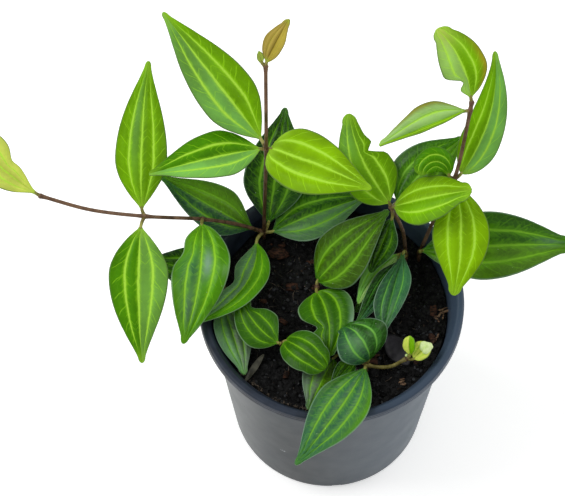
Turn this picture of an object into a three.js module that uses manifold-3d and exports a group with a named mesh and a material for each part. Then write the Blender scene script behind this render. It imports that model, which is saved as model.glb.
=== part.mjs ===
// A potted peperomia with parallel-veined leaves, in millimetres, +Z up.
// The origin is the middle of the pot's underside, and the plant's front is towards -Y.
import * as THREE from "three";
import { mergeVertices } from "three/addons/utils/BufferGeometryUtils.js";
import Module from "manifold-3d";

const wasm = await Module();
wasm.setup();

// Pot
const POT_HEIGHT = 104;
const RIM_RADIUS = 56.6;
const FOOT_RADIUS = 42.6;
const WALL = 1.3;
const RIM_BAND_HEIGHT = 5;
const RIM_OVERHANG = 4.3;
const LIP_WIDTH = 1.8;
const LIP_OUTER_BEVEL = 0.8;
const LIP_INNER_BEVEL = 0.7;
const EDGE_BEVEL = 0.4;
const STACKING_STEP = 0.4;
const STACKING_STEP_BELOW_RIM = 3;
const FLOOR_LIFT = 3;
const FOOT_RING_WIDTH = 5;
const CENTRE_PAD_RADIUS = 17;
const CENTRE_PAD_SLOPE = 2;
const POT_SIDES = 52;
const DRAIN_HOLES = 8;
const DRAIN_HOLE_RADIUS = 3.5;
const DRAIN_HOLE_SIDES = 12;
const DRAIN_CIRCLE_RADIUS = 27;
const FOOT_NOTCHES = 6;
const FOOT_NOTCH_WIDTH = 4;
const FOOT_NOTCH_LENGTH = 12;
const FOOT_NOTCH_HEIGHT = 1.6;
const FIRST_NOTCH_DEGREES = -83;

// Soil
const SOIL_LEVEL = 92;
const SOIL_SIDES = 36;
const SOIL_RINGS = 8;
const BARK_CHIPS = 22;
const BARK_CHIP_SIZE = [3.4, 2.2, 1.1];
const BARK_CLEARANCE = 6;
const BARK_WALL_MARGIN = 8;
const BARK_SEED = 7;

// Plant
const CLEARANCE = 0.3;
const STEM_RADIUS = 0.8;
const STEM_DEPTH = 24;
const STEM_HOLE_SIDES = 12;
const STEM_SIDES = 8;
const STEM_STEP = 13;
const PETIOLE_RADIUS = 0.7;
const PETIOLE_SIDES = 6;
const NODE_SWELLING = 1.25;
const BLADE_THICKNESS = 0.8;
const BLADE_BASE_HALF_WIDTH = 0.8;
const BLADE_TIP_HALF_WIDTH = 1.2;
const BLADE_STRIPS = 4;
const BLADE_ROWS = { tiny: 5, short: 8, long: 10, bent: 13 };

const radians = THREE.MathUtils.degToRad;
const point = ([x, y, z]) => new THREE.Vector3(x, y, z);

const materials = {
  pot: new THREE.MeshStandardMaterial({ color: 0x50565e, roughness: 0.45, metalness: 0 }),
  soil: new THREE.MeshStandardMaterial({ color: 0x1d1713, roughness: 0.95, metalness: 0 }),
  stem: new THREE.MeshStandardMaterial({ color: 0x6b4a37, roughness: 0.5, metalness: 0 }),
  young: new THREE.MeshStandardMaterial({ color: 0x7fb51e, roughness: 0.35, metalness: 0 }),
  grown: new THREE.MeshStandardMaterial({ color: 0x4b9a25, roughness: 0.35, metalness: 0 }),
  old: new THREE.MeshStandardMaterial({ color: 0x22602c, roughness: 0.3, metalness: 0 }),
};

// A closed geometry as a solid that can be joined and cut.
function solidOf(geometry) {
  const bare = geometry.clone();
  bare.deleteAttribute("normal");
  bare.deleteAttribute("uv");
  const merged = mergeVertices(bare, 1e-4);
  return new wasm.Manifold(
    new wasm.Mesh({
      numProp: 3,
      vertProperties: merged.attributes.position.array,
      triVerts: new Uint32Array(merged.index.array),
    }),
  );
}

function geometryOf(solid) {
  const { vertProperties, triVerts } = solid.getMesh();
  const geometry = new THREE.BufferGeometry();
  geometry.setAttribute("position", new THREE.BufferAttribute(vertProperties, 3));
  geometry.setIndex(new THREE.BufferAttribute(triVerts, 1));
  geometry.computeVertexNormals();
  return geometry;
}

function named(name, geometry, material) {
  const mesh = new THREE.Mesh(geometry, material);
  mesh.name = name;
  return mesh;
}

// Points of a profile, radius then height, turned about the Z axis.
function turned(profile, sides) {
  const points = profile.map(([radius, height]) => new THREE.Vector2(radius, height));
  return new THREE.LatheGeometry(points, sides).rotateX(Math.PI / 2);
}

function uprightCylinder(radius, sides, bottom, top) {
  const height = top - bottom;
  return new THREE.CylinderGeometry(radius, radius, height, sides)
    .rotateX(Math.PI / 2)
    .translate(0, 0, bottom + height / 2);
}

// The pot's wall leans out from the foot to the underside of the rim band.
const wallTopRadius = RIM_RADIUS - RIM_OVERHANG;
const wallTop = POT_HEIGHT - RIM_BAND_HEIGHT;
const outerRadiusAt = (height) => THREE.MathUtils.mapLinear(height, 0, wallTop, FOOT_RADIUS, wallTopRadius);
const innerRadiusAt = (height) => outerRadiusAt(height) - WALL;

function makePot() {
  const stepHeight = wallTop - STACKING_STEP_BELOW_RIM;
  const floorTop = FLOOR_LIFT + WALL;
  const channelInner = CENTRE_PAD_RADIUS + CENTRE_PAD_SLOPE;
  const channelOuter = FOOT_RADIUS - FOOT_RING_WIDTH;
  const lipOuter = RIM_RADIUS - LIP_OUTER_BEVEL;
  const lipInner = lipOuter - LIP_WIDTH;
  const shell = turned(
    [
      [0, 0],
      [CENTRE_PAD_RADIUS, 0],
      [channelInner, FLOOR_LIFT],
      [channelOuter - 1, FLOOR_LIFT],
      [channelOuter, 0],
      [FOOT_RADIUS - 1, 0],
      [FOOT_RADIUS, 1],
      [outerRadiusAt(stepHeight) - STACKING_STEP, stepHeight],
      [wallTopRadius, stepHeight + STACKING_STEP],
      [wallTopRadius, wallTop],
      [RIM_RADIUS - EDGE_BEVEL, wallTop],
      [RIM_RADIUS, wallTop + EDGE_BEVEL],
      [RIM_RADIUS, POT_HEIGHT - LIP_OUTER_BEVEL],
      [lipOuter, POT_HEIGHT],
      [lipInner, POT_HEIGHT],
      [lipInner - LIP_INNER_BEVEL, POT_HEIGHT - LIP_INNER_BEVEL],
      [innerRadiusAt(wallTop), wallTop],
      [innerRadiusAt(floorTop), floorTop],
      [channelInner - 1, floorTop],
      [CENTRE_PAD_RADIUS - 1, WALL],
      [0, WALL],
    ],
    POT_SIDES,
  );
  let pot = solidOf(shell);
  for (let i = 0; i < DRAIN_HOLES; i++) {
    const turn = (i / DRAIN_HOLES) * 2 * Math.PI;
    const hole = uprightCylinder(DRAIN_HOLE_RADIUS, DRAIN_HOLE_SIDES, FLOOR_LIFT - 1, floorTop + 1)
      .translate(DRAIN_CIRCLE_RADIUS * Math.cos(turn), DRAIN_CIRCLE_RADIUS * Math.sin(turn), 0);
    pot = pot.subtract(solidOf(hole));
  }
  for (let i = 0; i < FOOT_NOTCHES; i++) {
    const notch = new THREE.BoxGeometry(FOOT_NOTCH_LENGTH, FOOT_NOTCH_WIDTH, 2 * FOOT_NOTCH_HEIGHT)
      .translate(FOOT_RADIUS - 2, 0, 0)
      .rotateZ(radians(FIRST_NOTCH_DEGREES) + (i / FOOT_NOTCHES) * 2 * Math.PI);
    pot = pot.subtract(solidOf(notch));
  }
  return named("pot", geometryOf(pot), materials.pot);
}

// A round bar along a path.
function bar(path, radius, sides, steps) {
  const section = new THREE.Shape().absarc(0, 0, radius, 0, 2 * Math.PI);
  return new THREE.ExtrudeGeometry(section, {
    steps,
    curveSegments: sides / 2,
    extrudePath: path,
    bevelEnabled: false,
  });
}

// The swollen places on the stems that leaves grow from.
const joints = {
  tallLow: [-30, 34, 99],
  tallMiddle: [-29.5, 51, 141],
  tallTip: [-30, 66, 183],
  trailNear: [-56, 30, 116],
  trailFar: [-79.5, 23.5, 129],
  trailTip: [-122, 21.5, 147.5],
  centreLow: [31.5, 24.5, 99],
  centreTop: [24, 31, 130],
  rightLow: [37.3, 25.8, 99.5],
  rightMiddle: [50, 39.5, 141],
  rightTop: [54.6, 54.4, 172],
  rightTip: [55, 56, 176],
  midTop: [-6.2, 8, 99],
  frontTop: [15.6, -28, 99],
  sproutTip: [32.7, -26.5, 103.5],
  sideTop: [-20.2, -19.6, 99],
  rimTop: [-46, 4, 98.5],
};

// Each stem stands upright in the soil under its lowest joint, and its lines run on from a joint.
const stems = [
  {
    name: "forked_stem",
    lowest: joints.tallLow,
    lines: [
      [joints.tallLow, joints.tallMiddle, joints.tallTip],
      [joints.tallLow, [-42, 32, 109], joints.trailNear, joints.trailFar, [-102, 22, 136], joints.trailTip],
    ],
  },
  {
    name: "centre_stem",
    lowest: joints.centreLow,
    lines: [[joints.centreLow, [29.5, 28, 115], joints.centreTop]],
  },
  {
    name: "right_stem",
    lowest: joints.rightLow,
    lines: [[joints.rightLow, [42.6, 32, 118], joints.rightMiddle, joints.rightTop, joints.rightTip]],
  },
  { name: "mid_stem", lowest: joints.midTop, lines: [] },
  {
    name: "front_stem",
    lowest: joints.frontTop,
    lines: [[joints.frontTop, [20, -28.4, 98], [26, -28.2, 98.6], joints.sproutTip]],
  },
  { name: "side_stem", lowest: joints.sideTop, lines: [] },
  { name: "rim_stem", lowest: joints.rimTop, lines: [] },
];

// Leaves. base is where the blade starts, heading and rise point from it to the tip, in degrees,
// and reach is the straight distance between them. arch bends the midrib up in its middle and
// sweep bends it sideways. roll lifts the left edge, twist adds to it along the blade, fold and
// cup raise both edges, wave ruffles them, and notches are bites out of an edge. widest is where
// along the blade it is widest, and stagger moves that place forward on the left edge and back on
// the right. A small baseEase makes its base round, a small tipEase its tip, and tip is half the
// width that its blunt end has.
const leaves = [
  { name: "tall_leaf_back", joint: "tallMiddle", age: "young",
    base: [-32, 55, 143], heading: 135, rise: 26, reach: 67, width: 26, arch: 14, sweep: 6,
    cup: 0.12, widest: 0.34 },
  { name: "tall_leaf_left", joint: "tallMiddle", age: "young",
    base: [-32, 51, 141], heading: 199, rise: 4, reach: 48.5, width: 23, arch: 14, fold: 0.22 },
  { name: "tall_leaf_right", joint: "tallMiddle", age: "young",
    base: [-27.5, 51, 141.5], heading: 332, rise: 10, reach: 49, width: 30, arch: 16, sweep: 2,
    cup: -0.06, widest: 0.3, stagger: -0.1, baseEase: 0.33 },
  { name: "tall_bud", joint: "tallTip", age: "young",
    base: [-29.6, 67.2, 185.2], heading: 54, rise: 42, reach: 20, width: 10, arch: 10, fold: 0.5,
    widest: 0.42, baseEase: 0.7, tip: 1.3 },
  { name: "tall_bud_scale", joint: "tallTip", age: "young",
    base: [-31.8, 67, 184.8], heading: 115, rise: 60, reach: 5, width: 2.4, arch: -20, fold: 0.3 },
  { name: "low_leaf_back", joint: "tallLow", age: "old",
    base: [-28, 37.5, 101.5], heading: 83, rise: 25, reach: 50, width: 27, arch: 16, cup: 0.1 },
  { name: "low_leaf_right", joint: "tallLow", age: "old",
    base: [-26, 34, 99.5], heading: 20, rise: 10, reach: 44, width: 25, arch: 16, fold: 0.12 },
  { name: "low_leaf_front", joint: "tallLow", age: "grown",
    base: [-33, 27, 101], heading: 241, rise: 9, reach: 49, width: 15.5, arch: 18, sweep: 72,
    fold: 0.15, notches: [{ side: -1, at: 0.5, depth: 0.35, span: 0.1 }] },
  { name: "low_leaf_left", joint: "tallLow", age: "old",
    base: [-35, 34, 101.5], heading: 160, rise: 23, reach: 46, width: 21, arch: 26, sweep: 12,
    roll: -12, cup: 0.1, baseEase: 1.1 },
  { name: "trail_leaf_back", joint: "trailFar", age: "young",
    base: [-81, 26, 131.5], heading: 89, rise: 27, reach: 62, width: 22, arch: 10, sweep: 9,
    cup: 0.05, widest: 0.34 },
  { name: "trail_leaf_front", joint: "trailFar", age: "young",
    base: [-81, 18, 129.5], heading: 273, rise: -24, reach: 57, width: 25, arch: 16, sweep: -9,
    cup: 0.06 },
  { name: "trail_leaf_inner", joint: "trailNear", age: "grown",
    base: [-56, 26, 118.5], heading: 264, rise: -10, reach: 53, width: 24, arch: 40, sweep: 26,
    twist: -20, cup: 0.1, wave: 0.09, widest: 0.42, stagger: -0.08, baseEase: 0.7,
    notches: [{ side: -1, at: 0.27, depth: 0.2, span: 0.08 }] },
  { name: "trail_leaf_end", joint: "trailTip", age: "young",
    base: [-124, 22, 149], heading: 146, rise: 20, reach: 38, width: 19, arch: 16, sweep: 22,
    fold: 0.2, wave: 0.05, widest: 0.6, stagger: -0.12, baseEase: 1.2,
    notches: [{ side: -1, at: 0.42, depth: 0.25, span: 0.08 }] },
  { name: "centre_leaf_back", joint: "centreTop", age: "young",
    base: [23, 32.5, 131.5], heading: 119, rise: 24, reach: 41, width: 23.5, arch: 12, sweep: 34,
    cup: 0.02, widest: 0.3, baseEase: 0.7, tipEase: 0.9, tip: 2,
    notches: [
      { side: -1, at: 0.58, depth: 0.62, span: 0.055 },
      { side: -1, at: 0.77, depth: 0.35, span: 0.14 },
    ] },
  { name: "centre_leaf_right", joint: "centreTop", age: "young",
    base: [25.5, 30.5, 131.5], heading: 358, rise: 30, reach: 36, width: 23, arch: 16, cup: -0.1,
    widest: 0.38, baseEase: 0.6, tipEase: 0.8, tip: 2.2 },
  { name: "centre_leaf_far", joint: "centreTop", age: "old",
    base: [26.5, 34, 129.5], heading: 44, rise: 16, reach: 39, width: 25, arch: 14, sweep: 16,
    cup: 0.05 },
  { name: "centre_leaf_front", joint: "centreTop", age: "old",
    base: [24.6, 28, 125.5], heading: 244, rise: -43, reach: 25.5, width: 13, arch: -10, fold: 0.1,
    widest: 0.42 },
  { name: "centre_low_leaf_front", joint: "centreLow", age: "old",
    base: [30, 21, 106.9], heading: 258, rise: -2, reach: 39, width: 14, arch: 20, fold: 0.3,
    widest: 0.52, stagger: -0.12, baseEase: 1.2 },
  { name: "centre_low_leaf_pale", joint: "centreLow", age: "grown",
    base: [27.9, 22.7, 102.6], heading: 236, rise: 1, reach: 29, width: 11, arch: 8, sweep: -34,
    fold: 0.2 },
  { name: "centre_low_leaf_dark", joint: "centreLow", age: "old",
    base: [29, 18.6, 104.6], heading: 240, rise: 0, reach: 36, width: 10, arch: 16, fold: 0.1 },
  { name: "centre_low_leaf_under", joint: "centreLow", age: "old",
    base: [28, 24.3, 97], heading: 237, rise: -1, reach: 31.5, width: 15, arch: 10, sweep: -10,
    fold: 0.05 },
  { name: "right_leaf_back", joint: "rightMiddle", age: "young",
    base: [52.9, 41.5, 142.5], heading: 75, rise: 26, reach: 53, width: 17, arch: 14, sweep: -44,
    fold: 0.2, widest: 0.27, baseEase: 0.6 },
  { name: "right_leaf_front", joint: "rightMiddle", age: "young",
    base: [51, 37, 140], heading: 270, rise: -27, reach: 46, width: 24, arch: 24, sweep: 24,
    cup: -0.08, widest: 0.45, tip: 1.8 },
  { name: "right_leaf_curled", joint: "rightMiddle", age: "young",
    base: [47.4, 40.4, 142.6], heading: 184, rise: 4, reach: 11, width: 13, arch: 40, sweep: -180,
    roll: -25, cup: -0.2, widest: 0.5, tipEase: 0.7, tip: 1.6,
    notches: [{ side: 1, at: 0.5, depth: 0.35, span: 0.3 }] },
  { name: "right_leaf_folded", joint: "rightTop", age: "young",
    base: [52.5, 54, 172.5], heading: 201, rise: -12, reach: 38, width: 17, arch: 16, sweep: 14,
    fold: 0.7, roll: 12, tip: 1.6 },
  { name: "right_leaf_top", joint: "rightTip", age: "young",
    base: [54.5, 57.5, 178], heading: 122, rise: 26, reach: 31, width: 20, arch: 30, sweep: -32,
    cup: 0.15, widest: 0.38, tipEase: 0.75, tip: 2,
    notches: [{ side: 1, at: 0.21, depth: 0.75, span: 0.08 }] },
  { name: "right_leaf_low", joint: "rightLow", age: "old",
    base: [38.5, 24.5, 104], heading: 1, rise: 7, reach: 65, width: 30, arch: 26, roll: 14,
    cup: 0.08, widest: 0.42, tip: 2.8 },
  { name: "mid_leaf_back", joint: "midTop", age: "old",
    base: [-6, 10.5, 100.5], heading: 34, rise: 39, reach: 45, width: 26.5, arch: 20, cup: -0.1,
    widest: 0.3, baseEase: 0.6 },
  { name: "mid_leaf_front", joint: "midTop", age: "grown",
    base: [-6.2, 5, 99.5], heading: 280, rise: 2, reach: 31, width: 24, arch: 40, sweep: 38,
    cup: 0.15, widest: 0.32, baseEase: 0.5,
    tipEase: 0.8, notches: [{ side: -1, at: 0.6, depth: 0.5, span: 0.09 }] },
  { name: "front_leaf_curled", joint: "frontTop", age: "old",
    base: [16.5, -26.5, 101], heading: 132, rise: 18, reach: 17, width: 26, arch: 165, roll: 6,
    widest: 0.45 },
  { name: "front_leaf_long", joint: "frontTop", age: "old",
    base: [15, -31, 101.5], heading: 240, rise: 7, reach: 55.5, width: 22.5, arch: 26, sweep: 18,
    cup: 0.1, widest: 0.42 },
  { name: "front_leaf_dull", joint: "frontTop", age: "old",
    base: [1.5, -25, 97.5], heading: 249, rise: 6, reach: 27, width: 18, arch: 8, fold: 0.1 },
  { name: "front_leaf_narrow", joint: "frontTop", age: "old",
    base: [10.5, -26.5, 100.5], heading: 235, rise: 3, reach: 16.5, width: 8, arch: 14, fold: 0.2 },
  { name: "sprout_leaf_left", joint: "sproutTip", age: "young",
    base: [33.8, -26, 106.6], heading: 94, rise: 38, reach: 7.5, width: 5.4, arch: 50, fold: 0.3,
    roll: -20, widest: 0.5, tipEase: 0.8, tip: 1.4 },
  { name: "sprout_leaf_right", joint: "sproutTip", age: "young",
    base: [35.8, -27.1, 104.7], heading: 40, rise: 20, reach: 8, width: 8.4, arch: 50, fold: 0.4,
    widest: 0.5, baseEase: 0.6, tipEase: 0.6, tip: 2 },
  { name: "side_leaf_right", joint: "sideTop", age: "grown",
    base: [-18.4, -19.2, 101.5], heading: 321, rise: 8, reach: 22, width: 17, arch: 80, roll: 10,
    widest: 0.48, baseEase: 0.4, tipEase: 0.7, tip: 3 },
  { name: "side_leaf_back", joint: "sideTop", age: "grown",
    base: [-22, -20, 100.8], heading: 129, rise: 11, reach: 27.5, width: 18.5, arch: 12, sweep: 50,
    cup: 0.05, widest: 0.32, notches: [{ side: -1, at: 0.7, depth: 0.6, span: 0.09 }] },
  { name: "rim_leaf_front", joint: "rimTop", age: "old",
    base: [-46.6, 0, 98.6], heading: 288, rise: 0, reach: 36, width: 15.5, arch: 12, fold: 0.05,
    roll: -11, widest: 0.44, tip: 1.4 },
  { name: "rim_leaf_left", joint: "rimTop", age: "old",
    base: [-47, 7.5, 102], heading: 173, rise: 19, reach: 33, width: 22, arch: 26, cup: 0.08,
    baseEase: 1.1 },
];

// The midrib of a leaf in its own frame, from the origin to a tip on the X axis, as rows that
// each hold the place, the direction along the blade, and the blade's left and upper side.
function midribRows(leaf, rowCount) {
  const fineSteps = 4;
  const turnAt = (u) => {
    const pitch = radians(leaf.arch ?? 0) * (u - 0.5);
    const yaw = -radians(leaf.sweep ?? 0) * (u - 0.5);
    return new THREE.Quaternion().setFromEuler(new THREE.Euler(0, pitch, yaw, "ZYX"));
  };
  const place = new THREE.Vector3();
  const places = [place.clone()];
  for (let i = 0; i < rowCount * fineSteps; i++) {
    const u = (i + 0.5) / (rowCount * fineSteps);
    place.add(new THREE.Vector3(1, 0, 0).applyQuaternion(turnAt(u)));
    if ((i + 1) % fineSteps === 0) places.push(place.clone());
  }
  const scale = leaf.reach / place.length();
  return places.map((at, row) => {
    const u = row / rowCount;
    const twist = new THREE.Quaternion().setFromAxisAngle(
      new THREE.Vector3(1, 0, 0),
      radians(leaf.twist ?? 0) * u,
    );
    const turn = turnAt(u).multiply(twist);
    return {
      u,
      at: at.multiplyScalar(scale),
      along: new THREE.Vector3(1, 0, 0).applyQuaternion(turn),
      left: new THREE.Vector3(0, 1, 0).applyQuaternion(turn),
      up: new THREE.Vector3(0, 0, 1).applyQuaternion(turn),
    };
  });
}

// Half the blade's width at u, from 0 at its base to 1 at its tip, on the left (+1) or right (-1).
function halfWidth(leaf, u, side) {
  const widest = (leaf.widest ?? 0.36) + side * (leaf.stagger ?? 0);
  const baseShape = Math.sin((Math.PI / 2) * Math.min(1, u / widest)) ** (leaf.baseEase ?? 0.93);
  const tipShape = Math.sin((Math.PI / 2) * Math.min(1, (1 - u) / (1 - widest))) ** (leaf.tipEase ?? 1.1);
  let half = (leaf.width / 2) * baseShape * tipShape;
  for (const notch of leaf.notches ?? [])
    if (notch.side === side) half *= 1 - notch.depth * Math.exp(-(((u - notch.at) / notch.span) ** 2));
  const tip = leaf.tip ?? BLADE_TIP_HALF_WIDTH;
  return Math.max(half, THREE.MathUtils.lerp(BLADE_BASE_HALF_WIDTH, tip, u));
}

// The middle surface of a blade: rows of points from the right edge to the left edge.
function bladeGrid(leaf, rowCount) {
  const fold = leaf.fold ?? 0;
  const cup = leaf.cup ?? 0;
  const narrowing = Math.hypot(1, fold + cup);
  return midribRows(leaf, rowCount).map(({ u, at, left, up }) => {
    const row = [];
    for (let strip = 0; strip <= BLADE_STRIPS; strip++) {
      const v = (2 * strip) / BLADE_STRIPS - 1;
      const half = halfWidth(leaf, u, v < 0 ? -1 : 1);
      const ruffle = (leaf.wave ?? 0) * leaf.width * v * v * Math.sin(4 * Math.PI * u + Math.PI * (v > 0));
      const lift = half * (fold * Math.abs(v) + cup * v * v) + ruffle * Math.sin(Math.PI * u);
      row.push(at.clone().addScaledVector(left, (v * half) / narrowing).addScaledVector(up, lift));
    }
    return row;
  });
}

// A blade as a closed skin of even thickness, split into triangles alike on both faces.
function bladeGeometry(leaf) {
  const bent = leaf.notches || Math.abs(leaf.arch ?? 0) > 75;
  const rowCount = leaf.reach < 10 ? BLADE_ROWS.tiny
    : bent ? BLADE_ROWS.bent
    : leaf.reach < 40 ? BLADE_ROWS.short
    : BLADE_ROWS.long;
  const grid = bladeGrid(leaf, rowCount);
  const columns = BLADE_STRIPS + 1;
  const corners = [];
  for (const face of [1, -1]) {
    grid.forEach((row, i) =>
      row.forEach((at, j) => {
        const along = grid[Math.min(i + 1, rowCount)][j].clone().sub(grid[Math.max(i - 1, 0)][j]);
        const across = row[Math.min(j + 1, BLADE_STRIPS)].clone().sub(row[Math.max(j - 1, 0)]);
        const out = along.cross(across).normalize();
        corners.push(...at.clone().addScaledVector(out, (face * BLADE_THICKNESS) / 2).toArray());
      }),
    );
  }
  const lower = (rowCount + 1) * columns;
  const index = [];
  const quad = (a, b, c, d) => index.push(a, b, c, a, c, d);
  for (let i = 0; i < rowCount; i++)
    for (let j = 0; j < BLADE_STRIPS; j++) {
      const a = i * columns + j;
      const b = a + columns;
      quad(a, b, b + 1, a + 1);
      index.push(lower + a, lower + b + 1, lower + b, lower + a, lower + a + 1, lower + b + 1);
    }
  for (let i = 0; i < rowCount; i++) {
    const right = i * columns;
    const left = right + BLADE_STRIPS;
    quad(right, lower + right, lower + right + columns, right + columns);
    quad(left, left + columns, lower + left + columns, lower + left);
  }
  for (let j = 0; j < BLADE_STRIPS; j++) {
    const tip = rowCount * columns + j;
    quad(j, j + 1, lower + j + 1, lower + j);
    quad(tip, lower + tip, lower + tip + 1, tip + 1);
  }
  const geometry = new THREE.BufferGeometry();
  geometry.setAttribute("position", new THREE.Float32BufferAttribute(corners, 3));
  geometry.setIndex(index);
  geometry.computeVertexNormals();
  return geometry;
}

function makeLeaf(leaf) {
  const mesh = named(leaf.name, bladeGeometry(leaf), materials[leaf.age]);
  mesh.position.set(...leaf.base);
  mesh.rotation.set(radians(leaf.roll ?? 0), -radians(leaf.rise), radians(leaf.heading), "ZYX");
  mesh.updateMatrix();
  return mesh;
}

// The short stalk from a joint to just short of a blade, which it meets in the midrib's direction.
function petiole(leaf, mesh) {
  const start = point(joints[leaf.joint]);
  const along = midribRows(leaf, 10)[0].along.clone().transformDirection(mesh.matrix);
  const end = point(leaf.base).addScaledVector(along, -CLEARANCE);
  const elbow = end.clone().addScaledVector(along, -0.5 * start.distanceTo(end));
  return bar(new THREE.QuadraticBezierCurve3(start, elbow, end), PETIOLE_RADIUS, PETIOLE_SIDES, 2);
}

function makeStem(stem, leafMeshes) {
  const [x, y, top] = stem.lowest;
  const upright = new THREE.LineCurve3(point([x, y, SOIL_LEVEL - STEM_DEPTH]), point([x, y, top]));
  const pieces = [bar(upright, STEM_RADIUS, STEM_SIDES, 1)];
  for (const line of stem.lines) {
    const path = new THREE.CatmullRomCurve3(line.map(point));
    pieces.push(bar(path, STEM_RADIUS, STEM_SIDES, Math.round(path.getLength() / STEM_STEP) + 1));
  }
  const places = [stem.lowest, ...stem.lines.flat()];
  for (const [name, place] of Object.entries(joints)) {
    if (!places.includes(place)) continue;
    pieces.push(new THREE.SphereGeometry(NODE_SWELLING, 6, 4).translate(...place));
    leaves.forEach((leaf, i) => {
      if (leaf.joint === name) pieces.push(petiole(leaf, leafMeshes[i]));
    });
  }
  const solid = pieces.map(solidOf).reduce((whole, piece) => whole.add(piece));
  return named(stem.name, geometryOf(solid), materials.stem);
}

// A small repeatable random number source.
function seeded(seed) {
  let state = seed;
  return () => {
    state = (state * 16807) % 2147483647;
    return state / 2147483647;
  };
}

const soilLump = (x, y) =>
  0.7 * Math.sin(x / 5.3 + 1.1) * Math.cos(y / 4.7) +
  0.45 * Math.sin((x + 1.7 * y) / 3.1) +
  0.3 * Math.cos(x / 2.3);

function makeSoil() {
  const floor = FLOOR_LIFT + WALL + CLEARANCE;
  const sideRadius = (height) => innerRadiusAt(height) - 2 * CLEARANCE;
  const profile = [
    [0, WALL + CLEARANCE],
    [CENTRE_PAD_RADIUS - 2, WALL + CLEARANCE],
    [CENTRE_PAD_RADIUS, floor],
    [sideRadius(floor), floor],
    [sideRadius(SOIL_LEVEL - 1), SOIL_LEVEL - 1],
  ];
  for (let ring = SOIL_RINGS - 1; ring >= 0; ring--)
    profile.push([(ring / SOIL_RINGS) * sideRadius(SOIL_LEVEL), SOIL_LEVEL]);
  const geometry = turned(profile, SOIL_SIDES);
  const corners = geometry.getAttribute("position");
  for (let i = 0; i < corners.count; i++)
    if (corners.getZ(i) > SOIL_LEVEL - 0.5)
      corners.setZ(i, SOIL_LEVEL + soilLump(corners.getX(i), corners.getY(i)));
  let soil = solidOf(geometry);

  const random = seeded(BARK_SEED);
  let placed = 0;
  while (placed < BARK_CHIPS) {
    const turn = random() * 2 * Math.PI;
    const out = Math.sqrt(random()) * (innerRadiusAt(SOIL_LEVEL) - BARK_WALL_MARGIN);
    const [x, y] = [out * Math.cos(turn), out * Math.sin(turn)];
    const spin = random() * Math.PI;
    const size = 0.6 + 0.6 * random();
    const nearStem = stems.some(({ lowest }) => Math.hypot(x - lowest[0], y - lowest[1]) < BARK_CLEARANCE);
    if (nearStem) continue;
    const chip = new THREE.IcosahedronGeometry(1, 0)
      .scale(...BARK_CHIP_SIZE.map((length) => size * length))
      .rotateZ(spin)
      .translate(x, y, SOIL_LEVEL + soilLump(x, y) + 0.1);
    soil = soil.add(solidOf(chip));
    placed++;
  }

  const holeRadius = (STEM_RADIUS + CLEARANCE) / Math.cos(Math.PI / STEM_HOLE_SIDES);
  for (const { lowest } of stems) {
    const bottom = SOIL_LEVEL - STEM_DEPTH - CLEARANCE;
    const hole = uprightCylinder(holeRadius, STEM_HOLE_SIDES, bottom, SOIL_LEVEL + STEM_DEPTH)
      .translate(lowest[0], lowest[1], 0);
    soil = soil.subtract(solidOf(hole));
  }
  return named("soil", geometryOf(soil), materials.soil);
}

const leafMeshes = leaves.map(makeLeaf);

const foliage = new THREE.Group();
foliage.add(...leafMeshes, ...stems.map((stem) => makeStem(stem, leafMeshes)));

const plant = new THREE.Group();
plant.add(makePot(), makeSoil(), foliage);

export default plant;
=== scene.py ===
import math
import random

import bmesh
import bpy
from mathutils import Matrix, Vector, geometry, noise


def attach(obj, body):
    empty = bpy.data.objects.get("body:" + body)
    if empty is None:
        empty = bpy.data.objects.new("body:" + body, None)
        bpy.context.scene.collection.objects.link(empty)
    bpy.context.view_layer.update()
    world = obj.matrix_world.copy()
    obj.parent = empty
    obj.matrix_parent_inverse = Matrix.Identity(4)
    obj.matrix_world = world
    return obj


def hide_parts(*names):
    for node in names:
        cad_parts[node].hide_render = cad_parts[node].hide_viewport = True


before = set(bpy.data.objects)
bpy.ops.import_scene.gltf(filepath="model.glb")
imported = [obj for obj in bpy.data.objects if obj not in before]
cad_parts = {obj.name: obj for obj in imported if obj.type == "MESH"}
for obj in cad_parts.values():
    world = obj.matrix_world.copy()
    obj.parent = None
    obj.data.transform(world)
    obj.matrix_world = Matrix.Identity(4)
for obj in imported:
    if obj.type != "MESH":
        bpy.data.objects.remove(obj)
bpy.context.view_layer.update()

# The view: the plant is seen from in front and well above, as a customer looks down at it on
# a shop bench. Sizes in this file are millimetres until a piece is finished.
MM = 0.001
LENS = 172.56
FARTHEST = 10
CAMERA_PLACE = (-0.002, -0.5178, 1.1321)
CAMERA_TILT = 27.79
CAMERA_TURN = 2.07

lens = bpy.data.cameras.new("camera")
lens.lens = LENS
lens.clip_end = FARTHEST
camera = bpy.data.objects.new("camera", lens)
camera.location = CAMERA_PLACE
camera.rotation_euler = (math.radians(CAMERA_TILT), 0, math.radians(CAMERA_TURN))
bpy.context.collection.objects.link(camera)
bpy.context.scene.camera = camera
bpy.context.scene.view_settings.view_transform = "Standard"


# The pot: a thin nursery pot of recycled dark polypropylene, moulded in one shot. Its wall is satin, painted
# paler grey towards its left side as painted light and bluish towards its right side as a painted reflection;
# its rolled rim and inside are darker and glossier, with the same painted bluish reflection towards the
# right. The rim has two fine grooves, drain notches cut its foot ring, and its floor has a ring of drain
# holes.
RIM_RADIUS = 56.6
FOOT_RADIUS = 42.6
POT_TOP = 104
BAND_BOTTOM = 99
WALL = 1.3
WALL_TOP_RADIUS = 52.3
LEDGE = 96
LEDGE_STEP = 0.4
GROOVE = 0.35
FLOOR_TOP = 4.3
FOOT_HOLLOW = 3
ABOVE_FOOT = 2.6
LOWER_WALL = 30
UPPER_WALL = 60
GLOSSY_FROM = BAND_BOTTOM - 0.2
GLOSSY_INSIDE_FROM = 50
POT_TURNS = 144
POT_CREASE = 35
DRAIN_HOLES = 8
DRAIN_HOLE_RADIUS = 3.5
DRAIN_HOLE_SIDES = 40
DRAIN_HOLE_DEPTH = 3
DRAIN_HOLE_MIDDLE = 3.6
DRAIN_CIRCLE = 27
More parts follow.
